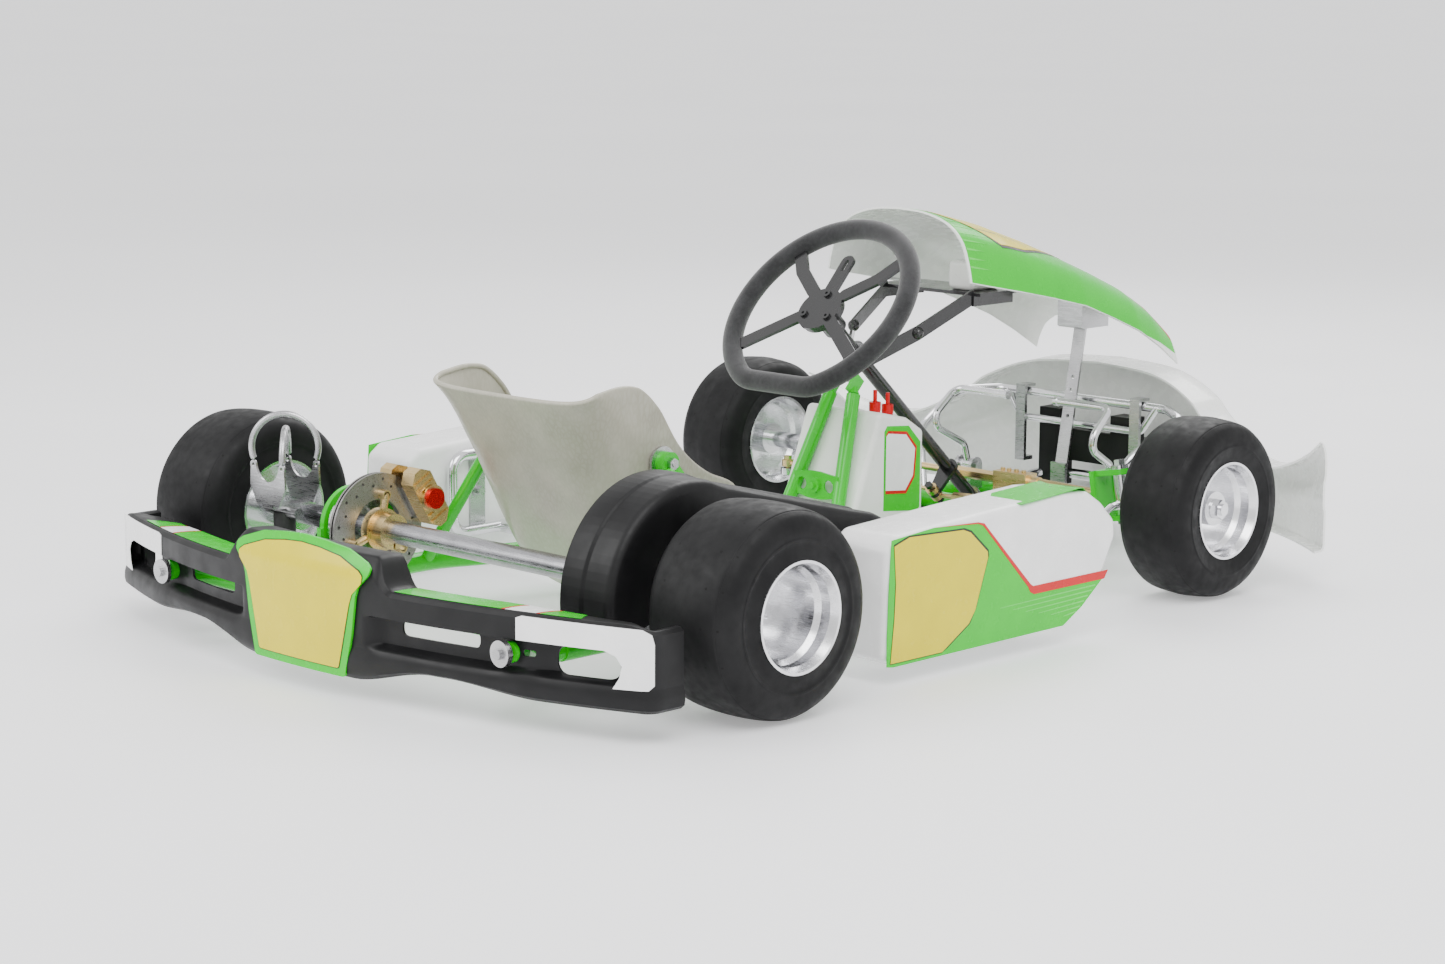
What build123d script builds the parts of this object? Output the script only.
from build123d import *
import os
from math import atan2, cos, degrees, pi, radians, sin, sqrt

# A bare cadet racing kart chassis: tubular frame, live rear axle with disc brake, steering,
# pedals, seat, fuel tank and plastic bodywork, ready for an engine.
# Millimetres. +X forward, +Y left, +Z up. The floor is z = 0. The origin is the middle of the
# overall length, on the centre line, on the floor. Sizes below count x from the rear axle;
# write() shifts each piece to the origin.

# ---- overall sizes ----
wheelbase = 950.0
rear_overhang = 305.0        # rear axle to the back face of the rear bumper
front_overhang = 400.0       # front axle to the tip of the nose
rear_rim_face_y = 562.0      # centre line to the outer flange of a rear rim
front_rim_face_y = 485.0
origin_x = (wheelbase + front_overhang - rear_overhang) / 2

# ---- wheels ----
flange_r = 68.4
flange_t = 4.0
seat_r = 63.5                # bead seat, a 5 inch rim
rim_wall = 3.5
rear_rim_w = 145.0
front_rim_w = 106.0
rear_tyre_r = 129.3
rear_tyre_w = 135.6
front_tyre_r = 126.5
front_tyre_w = 111.4
tyre_wall = 6.0
disc_wall = 8.0              # the web that bolts to the hub

# ---- running gear ----
axle_d = 30.0
axle_wall = 5.0
axle_half = rear_rim_face_y - 82.0
run_fit = 0.05               # radial clearance of a running shaft
face_gap = 0.3               # between faces of bodies that move past each other
bearing_y = 268.0            # middle of an axle bearing
bearing_w = 16.0
bearing_r = 31.0
cassette_r = 41.0
hub_flange_y = rear_rim_face_y - 96.0         # outer face of a rear hub's flange
hub_len = 90.0
stud_pcd = 58.0
brake_r = 75.0
brake_inner_r = 40.0
brake_t = 9.0
brake_y = 219.0              # middle of the disc
pad_gap = 0.5
sprocket_r = 88.0
sprocket_y = -352.0
sprocket_t = 4.5

# ---- frame ----
tube_d = 28.0
tube_wall = 2.0
rail_z = 60.0
tray_t = 1.5
yoke_z = front_tyre_r        # height of a stub axle
yoke_y = 300.0               # kingpin axis at stub height
kingpin_tilt = 10.0          # degrees, top leaning inwards
kingpin_d = 8.0
yoke_gap = 58.0              # clear height between the ears of a yoke
yoke_ear = 8.0
yoke_back = 40.0             # kingpin axis to the inner face of the yoke
stub_d = 17.0
tie_x = wheelbase - 66.0     # tie rod joints, behind the kingpins
tie_z = 99.0

# ---- steering ----
wheel_x = 631.0
wheel_z = 392.0
column_angle = 42.5          # degrees below the horizontal, going forward
column_d = 20.0
column_len = 468.0
pitman_at = 385.0            # along the column from the steering wheel
pitman_arm = 45.0
tie_rise = 2.8               # gap under a rod end, for the arm's rise as it turns
eye_offset = 7.3             # rod ends either side of the pitman plate
wheel_r = 159.0
wheel_flat = 146.0           # centre to the flat bottom
grip_r = 14.5
plate_t = 5.0


def write(shape, node):
    """Shift a piece to the origin and write it as one STEP file."""
    solids = shape.solids() if not isinstance(shape, list) else [s for part in shape for s in part.solids()]
    moved = Compound(children=[Pos(-origin_x, 0, 0) * s for s in solids])
    export_step(moved, f"parts/{node}.step")


def rod(points, d, bends=None):
    """A solid bar along straight runs joined by tangent arcs; bends is one radius or one per corner."""
    path = Polyline(*points) if bends is None else FilletPolyline(*points, radius=bends)
    start = Vector(*points[0])
    way = Vector(*points[1]) - start
    return sweep(Plane(origin=start, z_dir=way) * Circle(d / 2), path=path)


def pipe(points, d, wall, bends=None):
    """A hollow tube with open ends on the same kind of path."""
    path = Polyline(*points) if bends is None else FilletPolyline(*points, radius=bends)
    start = Vector(*points[0])
    way = Vector(*points[1]) - start
    ring = Circle(d / 2) - Circle(d / 2 - wall)
    return sweep(Plane(origin=start, z_dir=way) * ring, path=path)


def bar(a, b, r, r_end=None, sides=None):
    """A straight round, tapered or many-sided bar from point a to point b."""
    a, b = Vector(*a), Vector(*b)
    base = Plane(origin=a, z_dir=b - a)
    length = (b - a).length
    if sides:
        return extrude(base * RegularPolygon(r, sides, major_radius=False), length)
    if r_end is None:
        return extrude(base * Circle(r), length)
    return base * Pos(0, 0, length / 2) * Cone(r, r_end, length)


def tube_bar(a, b, r, bore):
    return bar(a, b, r) - bar(a, b, bore)


def mirror_y(shape):
    return mirror(shape, about=Plane.XZ)


def both(shape):
    """A piece and its mirror image on the other side of the kart."""
    return shape.solids() + mirror_y(shape).solids()


def box(x0, x1, y0, y1, z0, z1):
    return Pos((x0 + x1) / 2, (y0 + y1) / 2, (z0 + z1) / 2) * Box(x1 - x0, y1 - y0, z1 - z0)


def turned(profile, x, z):
    """Turn a profile of (y, radius) about an axle across the kart at x, z."""
    face = make_face(Polyline(*[(0, y, r) for y, r in profile], close=True))
    return Pos(x, 0, z) * revolve(face, axis=Axis.Y, revolution_arc=360)


def ring_holes(x, y, z, pcd, d, count, depth, start=90.0):
    """Round cutters on a circle about an axis across the kart."""
    cutters = []
    for k in range(count):
        a = radians(start + 360.0 * k / count)
        cutters.append(bar((x + pcd / 2 * cos(a), y - depth, z + pcd / 2 * sin(a)),
                           (x + pcd / 2 * cos(a), y + depth, z + pcd / 2 * sin(a)), d / 2))
    return cutters


def capscrew(a, b, d, washer_r=None):
    """A screw from its head end a to its tip b, with a socket head outside a."""
    a, b = Vector(*a), Vector(*b)
    out = (a - b).normalized()
    screw = bar(tuple(a), tuple(b), d / 2) + bar(tuple(a), tuple(a + out * d), d * 0.8)
    screw -= bar(tuple(a + out * d * 0.5), tuple(a + out * d * 1.5), d * 0.45, sides=6)
    return screw


# ---------------------------------------------------------------- wheels

def tyre(width, radius, rim_w):
    """A slick, as a shell open to the rim, about the Y axis at y = 0."""
    bead = rim_w / 2 - flange_t
    half = width / 2
    wall_r = flange_r + 2
    outer = [(bead - 1, wall_r), (half, 0.72 * radius), (half - 2, 0.82 * radius), (half - 8, 0.90 * radius),
             (half - 18, 0.955 * radius), (half - 34, 0.985 * radius), (0, radius)]
    inner = [(bead - 1 - tyre_wall, wall_r)] + [(y - tyre_wall, r - tyre_wall * 0.4) for y, r in outer[1:3]]
    inner += [(half - 8 - tyre_wall, 0.88 * radius), (half - 24, 0.92 * radius), (0, radius - tyre_wall)]
    out_pts = outer + [(-y, r) for y, r in reversed(outer[:-1])]
    in_pts = inner + [(-y, r) for y, r in reversed(inner[:-1])]

    def closed(points, bead_y):
        line = Spline(*[(0, y, r) for y, r in points])
        rest = Polyline((0, -points[0][0], points[0][1]), (0, -bead_y, seat_r), (0, bead_y, seat_r),
                        (0, points[0][0], points[0][1]))
        return make_face(line + rest)

    face = closed(out_pts, bead) - closed(in_pts, bead - tyre_wall)
    return revolve(face, axis=Axis.Y, revolution_arc=360)


def rear_tyre():
    y = rear_rim_face_y - rear_rim_w / 2
    return both(Pos(0, y, rear_tyre_r) * tyre(rear_tyre_w, rear_tyre_r, rear_rim_w))


def rim_barrel(face_y, width):
    """Barrel and flanges of a rim on the left side, as a (y, radius) ring."""
    y1, y0 = face_y, face_y - width
    seat, well = seat_r, seat_r - 5.0
    inside = well - rim_wall
    lip = flange_r - rim_wall
    return [(y1, flange_r), (y1 - flange_t, flange_r), (y1 - flange_t, seat), (y1 - 26, seat), (y1 - 32, well),
            (y0 + 32, well), (y0 + 26, seat), (y0 + flange_t, seat), (y0 + flange_t, flange_r), (y0, flange_r),
            (y0, lip), (y0 + flange_t + 6, seat - rim_wall), (y0 + 24, seat - rim_wall), (y0 + 31, inside),
            (y1 - 31, inside), (y1 - 24, seat - rim_wall), (y1 - flange_t - 6, seat - rim_wall), (y1, lip)]


def rear_rim():
    barrel = turned(rim_barrel(rear_rim_face_y, rear_rim_w), 0, rear_tyre_r)
    inside = seat_r - 5.0 - rim_wall
    y0, y1 = hub_flange_y, hub_flange_y + disc_wall
    web = turned([(y0, axle_d / 2 + 4), (y0, inside + 1), (y1, inside + 1), (y1, axle_d / 2 + 4)], 0, rear_tyre_r)
    rim = barrel + web
    for cutter in ring_holes(0, y0, rear_tyre_r, stud_pcd, 8.4, 3, 30):
        rim -= cutter
    return both(rim)


def rear_hub():
    """Splined on the axle: a barrel clamped by two screws and a flange with three studs."""
    z, r = rear_tyre_r, axle_d / 2
    y1 = hub_flange_y
    y0 = y1 - hub_len
    body = turned([(y0, r), (y0, r + 9), (y1 - 9, r + 9), (y1 - 9, 38), (y1, 38), (y1, r)], 0, z)
    body -= box(-1.5, 1.5, y0 - 1, y0 + 45, z, z + r + 12)
    return both(body)


def rear_wheel_nuts():
    """Three studs and nuts that hold each rear rim to its hub."""
    y0 = hub_flange_y
    pieces = []
    for k in range(3):
        a = radians(90 + 120 * k)
        x, z = stud_pcd / 2 * cos(a), rear_tyre_r + stud_pcd / 2 * sin(a)
        stud = bar((x, y0, z), (x, y0 + disc_wall + 12, z), 4.0)
        nut = bar((x, y0 + disc_wall, z), (x, y0 + disc_wall + 8, z), 6.5, sides=6)
        pieces += both(stud + nut)
    return pieces


def rear_axle():
    z = rear_tyre_r
    return tube_bar((0, -axle_half, z), (0, axle_half, z), axle_d / 2, axle_d / 2 - axle_wall)


def brake_disc():
    z = rear_tyre_r
    y0, y1 = brake_y - brake_t / 2, brake_y + brake_t / 2
    disc = turned([(y0, brake_inner_r), (y0, brake_r), (y1, brake_r), (y1, brake_inner_r)], 0, z)
    disc -= turned([(brake_y - 1.5, brake_inner_r + 10), (brake_y - 1.5, brake_r + 1),
                    (brake_y + 1.5, brake_r + 1), (brake_y + 1.5, brake_inner_r + 10)], 0, z)
    for cutter in ring_holes(0, brake_y, z, brake_r * 2 - 16, 4, 12, 8, 82):
        disc -= cutter
    for cutter in ring_holes(0, brake_y, z, brake_r * 2 - 32, 4, 12, 8, 97):
        disc -= cutter
    return disc


def brake_hub():
    """Clamp collar with three arms that carry the disc, cut from one billet."""
    z, r = rear_tyre_r, axle_d / 2
    near = brake_y - brake_t / 2
    body = turned([(near - 34, r), (near - 34, r + 9), (near - 12, r + 9), (near - 12, r + 14), (near, r + 14),
                   (near, r)], 0, z)
    for k in range(3):
        a = radians(80 + 120 * k)
        c, s = cos(a), sin(a)
        tip = brake_inner_r + 6
        arm = bar((0, near - 6, z), (tip * c, near - 6, z + tip * s), 5.5)
        boss = bar((tip * c, near - 10, z + tip * s), (tip * c, near, z + tip * s), 7)
        body += arm + boss
    body -= bar((0, near - 60, z), (0, near + 20, z), r)
    body -= box(-1.5, 1.5, near - 35, near - 12, z - r - 12, z)
    return body


def brake_hub_screws():
    z = rear_tyre_r
    near = brake_y - brake_t / 2
    tip = brake_inner_r + 6
    screws = []
    for k in range(3):
        a = radians(80 + 120 * k)
        x, zz = tip * cos(a), z + tip * sin(a)
        screws.append(capscrew((x, near - 10, zz), (x, near - 10.5, zz), 6))
    return screws


def sprocket():
    z, teeth = rear_tyre_r, 60
    y0, y1 = sprocket_y - sprocket_t / 2, sprocket_y + sprocket_t / 2
    wheel = turned([(y0, 38), (y0, sprocket_r), (y1, sprocket_r), (y1, 38)], 0, z)
    notch = [bar((sprocket_r * cos(2 * pi * k / teeth), y0 - 1, z + sprocket_r * sin(2 * pi * k / teeth)),
                 (sprocket_r * cos(2 * pi * k / teeth), y1 + 1, z + sprocket_r * sin(2 * pi * k / teeth)), 2.4)
             for k in range(teeth)]
    wheel = wheel.cut(*notch)
    for cutter in ring_holes(0, sprocket_y, z, 132, 20, 6, 10, 60):
        wheel -= cutter
    return wheel


def sprocket_hub():
    z, r = rear_tyre_r, axle_d / 2
    y1 = sprocket_y + sprocket_t / 2
    return turned([(y1, r), (y1, 50), (y1 + 6, 50), (y1 + 6, r + 10), (y1 + 36, r + 10), (y1 + 36, r)], 0, z)


# ---------------------------------------------------------------- front wheels

hub_bore_r = 17.5
hub_shell_r = 24.0
front_web_y = front_rim_face_y - 58.0
hub_in_y = front_rim_face_y - 90.0
hub_out_y = front_rim_face_y - 24.0


def front_rim():
    z = front_tyre_r
    barrel = turned(rim_barrel(front_rim_face_y, front_rim_w), wheelbase, z)
    inside = seat_r - 5.0 - rim_wall
    web = turned([(front_web_y, hub_shell_r - 1), (front_web_y, inside + 1), (front_web_y + disc_wall, inside + 1),
                  (front_web_y + disc_wall, hub_shell_r - 1)], wheelbase, z)
    hub = turned([(hub_in_y, hub_bore_r), (hub_in_y, hub_shell_r), (hub_out_y, hub_shell_r),
                  (hub_out_y, hub_bore_r)], wheelbase, z)
    return barrel + web + hub


def front_bearings():
    """Two ball races pressed into the hub, each a plain ring here."""
    rings = []
    for y in (hub_in_y, hub_out_y - 10):
        rings += turned([(y, stub_d / 2 + run_fit), (y, hub_bore_r), (y + 10, hub_bore_r),
                         (y + 10, stub_d / 2 + run_fit)], wheelbase, front_tyre_r).solids()
    return rings


def front_tyre():
    y = front_rim_face_y - front_rim_w / 2
    return Pos(wheelbase, y, front_tyre_r) * tyre(front_tyre_w, front_tyre_r, front_rim_w)


# ---------------------------------------------------------------- stub axle and yoke (left side)

lean = radians(kingpin_tilt)
kingpin_way = Vector(0, -sin(lean), cos(lean))
kingpin_at = Vector(wheelbase, yoke_y, yoke_z)
kingpin_plane = Plane(origin=kingpin_at, z_dir=kingpin_way, x_dir=(1, 0, 0))


def on_pin(h):
    """The point at height h along the left kingpin's axis."""
    return kingpin_at + kingpin_way * h


def stub_axle():
    """Forged boss, spindle, threaded end and a steering arm with a wide hole for the tie rod's stud."""
    half = yoke_gap / 2 - face_gap
    boss = bar(tuple(on_pin(-half)), tuple(on_pin(half)), 14)
    z = yoke_z
    spindle = bar((wheelbase, yoke_y, z), (wheelbase, hub_in_y - face_gap, z), 12.5)
    spindle += bar((wheelbase, yoke_y, z), (wheelbase, hub_out_y + 16, z), stub_d / 2)
    arm = bar((wheelbase, yoke_y, tie_z + 14), (tie_x + 38, yoke_y, tie_z + 12), 6.5)
    arm += bar((tie_x + 38, yoke_y, tie_z + 12), (tie_x, yoke_y, tie_z - 6), 6.5) + \
        Pos(tie_x + 38, yoke_y, tie_z + 12) * Sphere(6.5)
    eye = bar((tie_x, yoke_y, tie_z - 10), (tie_x, yoke_y, tie_z), 11)
    stub = boss + spindle + arm + eye
    stub -= bar((tie_x, yoke_y, tie_z), (tie_x, yoke_y, tie_z + 40), 11)
    stub -= bar(tuple(on_pin(-60)), tuple(on_pin(60)), kingpin_d / 2 + run_fit)
    stub -= bar((tie_x, yoke_y, tie_z - 40), (tie_x, yoke_y, tie_z + 20), 6.5)
    return stub


def wheel_nut():
    y = hub_out_y + face_gap
    nut = bar((wheelbase, y, yoke_z), (wheelbase, y + 2, yoke_z), 14)
    nut += bar((wheelbase, y + 2, yoke_z), (wheelbase, y + 12, yoke_z), 12, sides=6)
    return nut - bar((wheelbase, y - 1, yoke_z), (wheelbase, y + 20, yoke_z), stub_d / 2)


def yoke():
    """C bracket: two ears round the stub's boss, joined by a back plate."""
    h = yoke_gap / 2
    ears = []
    for s in (1, -1):
        a = on_pin(s * h)
        b = on_pin(s * (h + yoke_ear))
        round_ear = bar(tuple(a), tuple(b), 17)
        block = kingpin_plane * Pos(0, -20, s * (h + yoke_ear / 2)) * Box(34, 40, yoke_ear)
        ears.append(round_ear + block)
    back = kingpin_plane * Pos(0, -yoke_back + yoke_ear / 2, 0) * Box(46, yoke_ear, yoke_gap + 2 * yoke_ear)
    c = ears[0] + ears[1] + back
    return c - bar(tuple(on_pin(-70)), tuple(on_pin(70)), kingpin_d / 2)


def kingpin():
    """Bolt with eccentric washers and a lock nut; it clamps in the ears."""
    h = yoke_gap / 2 + yoke_ear
    shank = bar(tuple(on_pin(-h - 12)), tuple(on_pin(h + 10)), kingpin_d / 2)
    top = bar(tuple(on_pin(h)), tuple(on_pin(h + 5)), 14)
    head = bar(tuple(on_pin(h + 5)), tuple(on_pin(h + 13)), 7.5, sides=6)
    low = bar(tuple(on_pin(-h - 5)), tuple(on_pin(-h)), 12)
    nut = bar(tuple(on_pin(-h - 13)), tuple(on_pin(-h - 5)), 7.0, sides=6)
    return shank + top + head + low + nut


# ---------------------------------------------------------------- frame (left half where it has two)

rail_path = [(-112, bearing_y, rail_z), (150, bearing_y, rail_z), (330, 205, rail_z), (640, 175, rail_z),
             (wheelbase - 70, 186, rail_z), (wheelbase, 268, 120)]
rail_bends = [150.0, 150.0, 200.0, 45.0]
hoop_x = wheelbase + 230.0
hoop_y = 140.0
cross_x = [-84.0, 352.0, 600.0, wheelbase - 82.0]
foot_tube_x = wheelbase + 52.0


def behind_yoke():
    """Everything outboard of the yoke's inner face."""
    return kingpin_plane * Pos(0, 60 - yoke_back, 0) * Box(200, 120, 300)


def rail():
    """Main rail, from its open rear end to the yoke."""
    return pipe(rail_path, tube_d, tube_wall, rail_bends) - behind_yoke()


def rail_core():
    return rod(rail_path, tube_d, rail_bends) - behind_yoke()


def middle(shape):
    """The solid nearest to the centre line."""
    return min(shape.solids(), key=lambda s: abs(s.center().Y))


def cross_tubes():
    """Straight tubes between the rails, coped to them."""
    core = rail_core()
    tubes = []
    for x in cross_x:
        tube = tube_bar((x, -bearing_y, rail_z), (x, bearing_y, rail_z), tube_d / 2, tube_d / 2 - tube_wall)
        tube = tube.rotate(Axis((x, 0, rail_z), (0, 1, 0)), 40)
        tubes.append(middle((tube - core) - mirror_y(core)))
    return tubes


def cross_core(x):
    return bar((x, -bearing_y, rail_z), (x, bearing_y, rail_z), tube_d / 2)


hoop_path = [(cross_x[3], hoop_y, rail_z), (hoop_x, hoop_y, rail_z), (hoop_x, -hoop_y, rail_z),
             (cross_x[3], -hoop_y, rail_z)]


def front_hoop():
    """U of tube ahead of the front cross tube; the pedals and the bumpers are fixed to it."""
    return pipe(hoop_path, tube_d, tube_wall, 50.0) - cross_core(cross_x[3])


def foot_tube():
    tube = tube_bar((foot_tube_x, -hoop_y, rail_z), (foot_tube_x, hoop_y, rail_z), tube_d / 2,
                    tube_d / 2 - tube_wall)
    return middle(tube - rod(hoop_path, tube_d, 50.0))


def floor_tray():
    """Sheet under the front rails, with a rolled-up front edge."""
    low = rail_z - tube_d / 2 - tray_t
    flat = make_face(Polyline((615, -172, low), (870, -178, low), (1150, -128, low), (1185, -90, low),
                              (1185, 90, low), (1150, 128, low), (870, 178, low), (615, 172, low), close=True))
    return extrude(flat, tray_t, dir=(0, 0, 1))


def hanger():
    """Plate welded on the rail that holds the bearing's cassette."""
    plate = box(-58, 58, bearing_y - 4, bearing_y + 4, rail_z, rear_tyre_r)
    plate += bar((0, bearing_y - 4, rear_tyre_r), (0, bearing_y + 4, rear_tyre_r), cassette_r + 12)
    plate -= bar((0, bearing_y - 10, rear_tyre_r), (0, bearing_y + 10, rear_tyre_r), cassette_r)
    return plate - rod(rail_path, tube_d, rail_bends) - cross_core(cross_x[0])


def cassette():
    y0, y1 = bearing_y - bearing_w / 2, bearing_y + bearing_w / 2
    ring = turned([(y0, bearing_r), (y0, cassette_r), (y1, cassette_r), (y1, bearing_r)], 0, rear_tyre_r)
    flat = [(y0 - 4, bearing_r - 4), (y0 - 4, cassette_r + 8), (y0, cassette_r + 8), (y0, bearing_r - 4)]
    cap = turned(flat, 0, rear_tyre_r) - box(-80, 80, y0 - 5, y0 + 1, rear_tyre_r + 30, rear_tyre_r + 80)
    return ring + cap


def axle_bearing():
    y0, y1 = bearing_y - bearing_w / 2, bearing_y + bearing_w / 2
    bore = axle_d / 2 + run_fit
    return turned([(y0, bore), (y0, bearing_r), (y1, bearing_r), (y1, bore)], 0, rear_tyre_r)


# ---------------------------------------------------------------- steering

way = Vector(cos(radians(column_angle)), 0, -sin(radians(column_angle)))
drop = Vector(-sin(radians(column_angle)), 0, -cos(radians(column_angle)))
wheel_at = Vector(wheel_x, 0, wheel_z)
wheel_plane = Plane(origin=wheel_at, x_dir=-drop, z_dir=-way)


def on_column(t, down=0.0, y=0.0):
    """The point t along the column, down below its axis and y to the left."""
    return tuple(wheel_at + way * t + drop * down + Vector(0, y, 0))


def grip():
    """Suede-covered ring with a flat bottom, in the wheel's own plane: x is up and y is left."""
    r = wheel_r - grip_r
    flat = wheel_flat - grip_r
    outline = Circle(r) - Pos(-flat - 100, 0) * Rectangle(200, 4 * r)
    outline = fillet(outline.vertices(), 55)
    base = outline.edges().filter_by(GeomType.LINE)[0]
    ring = sweep(Plane(origin=base @ 0, z_dir=base % 0) * Circle(grip_r), path=outline.wires()[0])
    return wheel_plane * ring


def strap(a, b, width, thick):
    """Flat arm with round ends between two points of the wheel's plane."""
    a, b = Vector(*a), Vector(*b)
    half = width / 2
    side = (b - a).normalized().cross(Vector(0, 0, 1)) * half
    flat = make_face(Polyline(a + side, b + side, b - side, a - side, close=True))
    return extrude(flat + Pos(a) * Circle(half) + Pos(b) * Circle(half), thick)


def wheel_plate():
    """Four arms and a slotted horn cut from black sheet, with three screw holes."""
    reach = wheel_r - 2 * grip_r - 1.0
    plate = extrude(Circle(36), plate_t)
    arms = [((28, 30), (60, 72)), ((60, 72), (0.68 * reach, 0.72 * reach)),
            ((-12, 22), (-0.56 * reach, 0.80 * reach))]
    for a, b in arms:
        plate += strap((a[0], a[1], 0), (b[0], b[1], 0), 20, plate_t)
        plate += strap((a[0], -a[1], 0), (b[0], -b[1], 0), 20, plate_t)
    plate += strap((10, 0, 0), (84, 0, 0), 22, plate_t)
    for a in (0, 120, 240):
        plate -= Rot(0, 0, a) * Pos(25, 0, 0) * Cylinder(3.2, 4 * plate_t)
    plate -= Pos(0, 0, -plate_t) * strap((70, 0, 0), (84, 0, 0), 6, 3 * plate_t)
    ring = wheel_plane * Pos(0, 0, -plate_t / 2) * plate
    return ring - grip()


def wheel_boss():
    """Alloy hub between the plate and the column."""
    t = plate_t / 2
    boss = bar(on_column(t), on_column(t + 8), 34) + bar(on_column(t + 8), on_column(t + 42), 17)
    for a in (0, 120, 240):
        boss -= wheel_plane * Rot(0, 0, a) * Pos(25, 0, 0) * Cylinder(3.2, 60)
    return boss - bar(on_column(t + 10), on_column(t + 60), column_d / 2)


def wheel_screws():
    screws = []
    for a in (0, 120, 240):
        screw = Pos(25, 0, -plate_t / 2 - 8) * Cylinder(3, plate_t + 8, align=(Align.CENTER, Align.CENTER, Align.MIN))
        head = Pos(25, 0, plate_t / 2) * Cylinder(6, 3.5, align=(Align.CENTER, Align.CENTER, Align.MIN))
        socket = Pos(25, 0, plate_t / 2 + 1.5) * Cylinder(2.2, 6, align=(Align.CENTER, Align.CENTER, Align.MIN))
        screws.append(wheel_plane * (Rot(0, 0, a) * (screw + head - socket)))
    return screws


def steering_column():
    """Tube from the boss to the foot bearing, with the pitman plate and its bolt welded on."""
    top = plate_t / 2 + 10
    tube = tube_bar(on_column(top), on_column(column_len), column_d / 2, column_d / 2 - 2)
    face = Plane(origin=on_column(pitman_at - 3), x_dir=drop, z_dir=way)
    web = Polyline((0, 15), (pitman_arm, 9), (pitman_arm, -9), (0, -15), close=True)
    plate = extrude(face * (make_face(web) + Circle(15) + Pos(pitman_arm, 0) * Circle(9)), 6)
    plate -= bar(on_column(0), on_column(column_len), column_d / 2)
    bolt = bar(on_column(pitman_at - 20, pitman_arm), on_column(pitman_at + 20, pitman_arm), 3.0)
    bolt += bar(on_column(pitman_at - 20, pitman_arm), on_column(pitman_at - 15, pitman_arm), 5.5, sides=6)
    bolt += bar(on_column(pitman_at + 15, pitman_arm), on_column(pitman_at + 20, pitman_arm), 5.5, sides=6)
    return tube + plate + bolt


def tie_rod(side, offset):
    """Hexagonal alloy rod with a rod end on the pitman's bolt and a studded end over the steering arm.

    side is 1 for the left rod; offset places its eye along the bolt, clear of the plate.
    """
    eye = Vector(*on_column(pitman_at + offset, pitman_arm))
    end = Vector(tie_x, side * yoke_y, tie_z + tie_rise + 5)
    inner = bar(tuple(eye - way * 4), tuple(eye + way * 4), 9)
    outer = bar(tuple(end - Vector(0, 0, 5)), tuple(end + Vector(0, 0, 5)), 9)
    line = (end - eye).normalized()
    neck_in, neck_out = eye + line * 34, end - line * 34
    shaft = bar(tuple(eye), tuple(end), 3.4)
    body = bar(tuple(neck_in), tuple(neck_out), 6.5, sides=6)
    stud = bar(tuple(end + Vector(0, 0, 11)), tuple(end - Vector(0, 0, 16)), 3.0)
    head = bar(tuple(end + Vector(0, 0, 5)), tuple(end + Vector(0, 0, 11)), 5.5, sides=6)
    piece = inner + outer + shaft + body
    piece -= bar(tuple(eye - way * 20), tuple(eye + way * 20), 3.0 + run_fit)
    return piece + stud + head


def column_bush():
    """Split block round the column, on a lug between the tabs of the uprights."""
    t = 108.0
    shell = bar(on_column(t - 13), on_column(t + 13), 17)
    lug = Plane(origin=on_column(t, 24), x_dir=drop, z_dir=way) * Box(34, 26, 18)
    return shell + lug - bar(on_column(t - 40), on_column(t + 40), column_d / 2 + run_fit)


def column_foot():
    """Foot bearing's housing on a bracket from the cross tube."""
    a, b = column_len - 16, column_len - 2
    shell = bar(on_column(a), on_column(b), 15)
    end = on_column(b)
    arm = box(end[0] - 4, foot_tube_x, -9, 9, rail_z - 6, rail_z + 10)
    foot = shell + arm - bar(on_column(a - 30), on_column(column_len + face_gap), column_d / 2 + run_fit)
    foot -= cross_core(foot_tube_x)
    return max(foot.solids(), key=lambda s: s.volume)


def upright():
    """Left tube of the steering support, with its flattened tab."""
    a, b = upright_foot, upright_top
    tab_at = Vector(684.0, 19.5, 281.0)
    tube = bar(a, b, upright_r) - cross_core(cross_x[2])
    tab = Plane(origin=tab_at, x_dir=drop, z_dir=(0, 1, 0)) * Box(30, 22, 4)
    return tube + tab + bar(b, tuple(tab_at - Vector(0, 0, 4)), 9, 4)


def tank_plate():
    """Laser-cut plate between the uprights that holds the tank's bolt."""
    x, z = 624.0, 141.0
    outline = make_face(Polyline((-44, 0, 16), (-8, 0, 20), (8, 0, 20), (40, 0, 16), (44, 0, -14), (12, 0, -20),
                                 (-12, 0, -20), (-49, 0, -14), close=True)).rotate(Axis.Z, 90)
    plate = Pos(x, 0, z) * extrude(outline, 3, dir=(1, 0, 0))
    for y in (-26, 26):
        plate -= bar((x - 5, y, z), (x + 9, y, z), 9)
    plate -= bar((x - 5, 0, z), (x + 9, 0, z), 3.2)
    core = bar(upright_foot, upright_top, upright_r)
    plate = (plate - core) - mirror_y(core)
    return middle(plate)


# ---------------------------------------------------------------- tank

tank_x1 = 776.0
tank_half = 72.0
tank_z0 = 82.0
tank_top_rear, tank_top_front = 247.0, 212.0
upright_foot = (cross_x[2], 57.0, rail_z)
upright_top = (679.0, 22.0, 268.0)
upright_r = 10.0


def tank_back_at(z):
    """Sloping back of the tank, just ahead of the uprights."""
    lean_x = (upright_top[0] - upright_foot[0]) / (upright_top[2] - upright_foot[2])
    return upright_foot[0] + lean_x * (z - upright_foot[2]) + upright_r * 1.12


tank_x0 = tank_back_at(tank_z0)


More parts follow.
